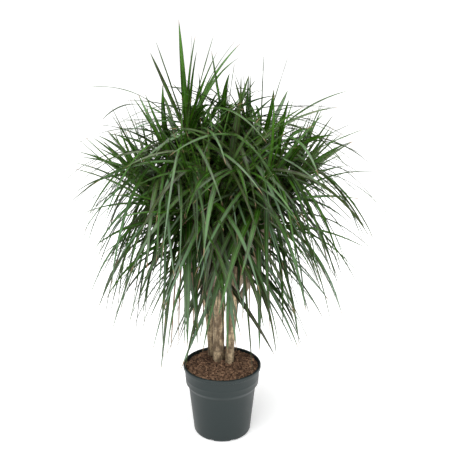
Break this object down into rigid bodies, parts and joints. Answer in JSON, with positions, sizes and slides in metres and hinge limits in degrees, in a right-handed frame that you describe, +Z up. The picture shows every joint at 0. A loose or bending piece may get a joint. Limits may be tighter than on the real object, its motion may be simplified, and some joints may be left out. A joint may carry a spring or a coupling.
{
  "type": "potted dragon tree",
  "caption": "Branched Madagascar dragon tree with bare tan canes and dense crowns of long arching green leaves, standing in a round dark nursery pot of bark mix.",
  "frame": {"origin": "middle of the pot's underside, on the floor", "axes": "+Z up along the pot's axis, -Y the front, +X to the right seen from the front"},
  "size_m": [0.9326, 0.9102, 1.249],
  "materials": {
    "pot": "satin",
    "mix": "matte",
    "bark": "matte",
    "young_bark": "matte",
    "leaf": "satin"
  },
  "bodies": {
    "root": {"nursery_pot": "pot", "potting_mix": "mix", "cane_main": "bark", "cane_right": "bark", "cane_left": "bark", "branch_01": "young_bark", "branch_02": "young_bark", "branch_03": "young_bark", "branch_04": "young_bark", "branch_05": "young_bark", "branch_06": "young_bark", "branch_07": "young_bark", "branch_08": "young_bark", "branch_09": "young_bark", "branch_10": "young_bark", "branch_11": "young_bark", "branch_12": "young_bark", "branch_13": "young_bark", "branch_14": "young_bark", "crown_01": "leaf", "crown_02": "leaf", "crown_03": "leaf", "crown_04": "leaf", "crown_05": "leaf", "crown_06": "leaf", "crown_07": "leaf", "crown_08": "leaf", "crown_09": "leaf", "crown_10": "leaf", "crown_11": "leaf", "crown_12": "leaf", "crown_13": "leaf", "crown_14": "leaf"}
  },
  "joints": []
}
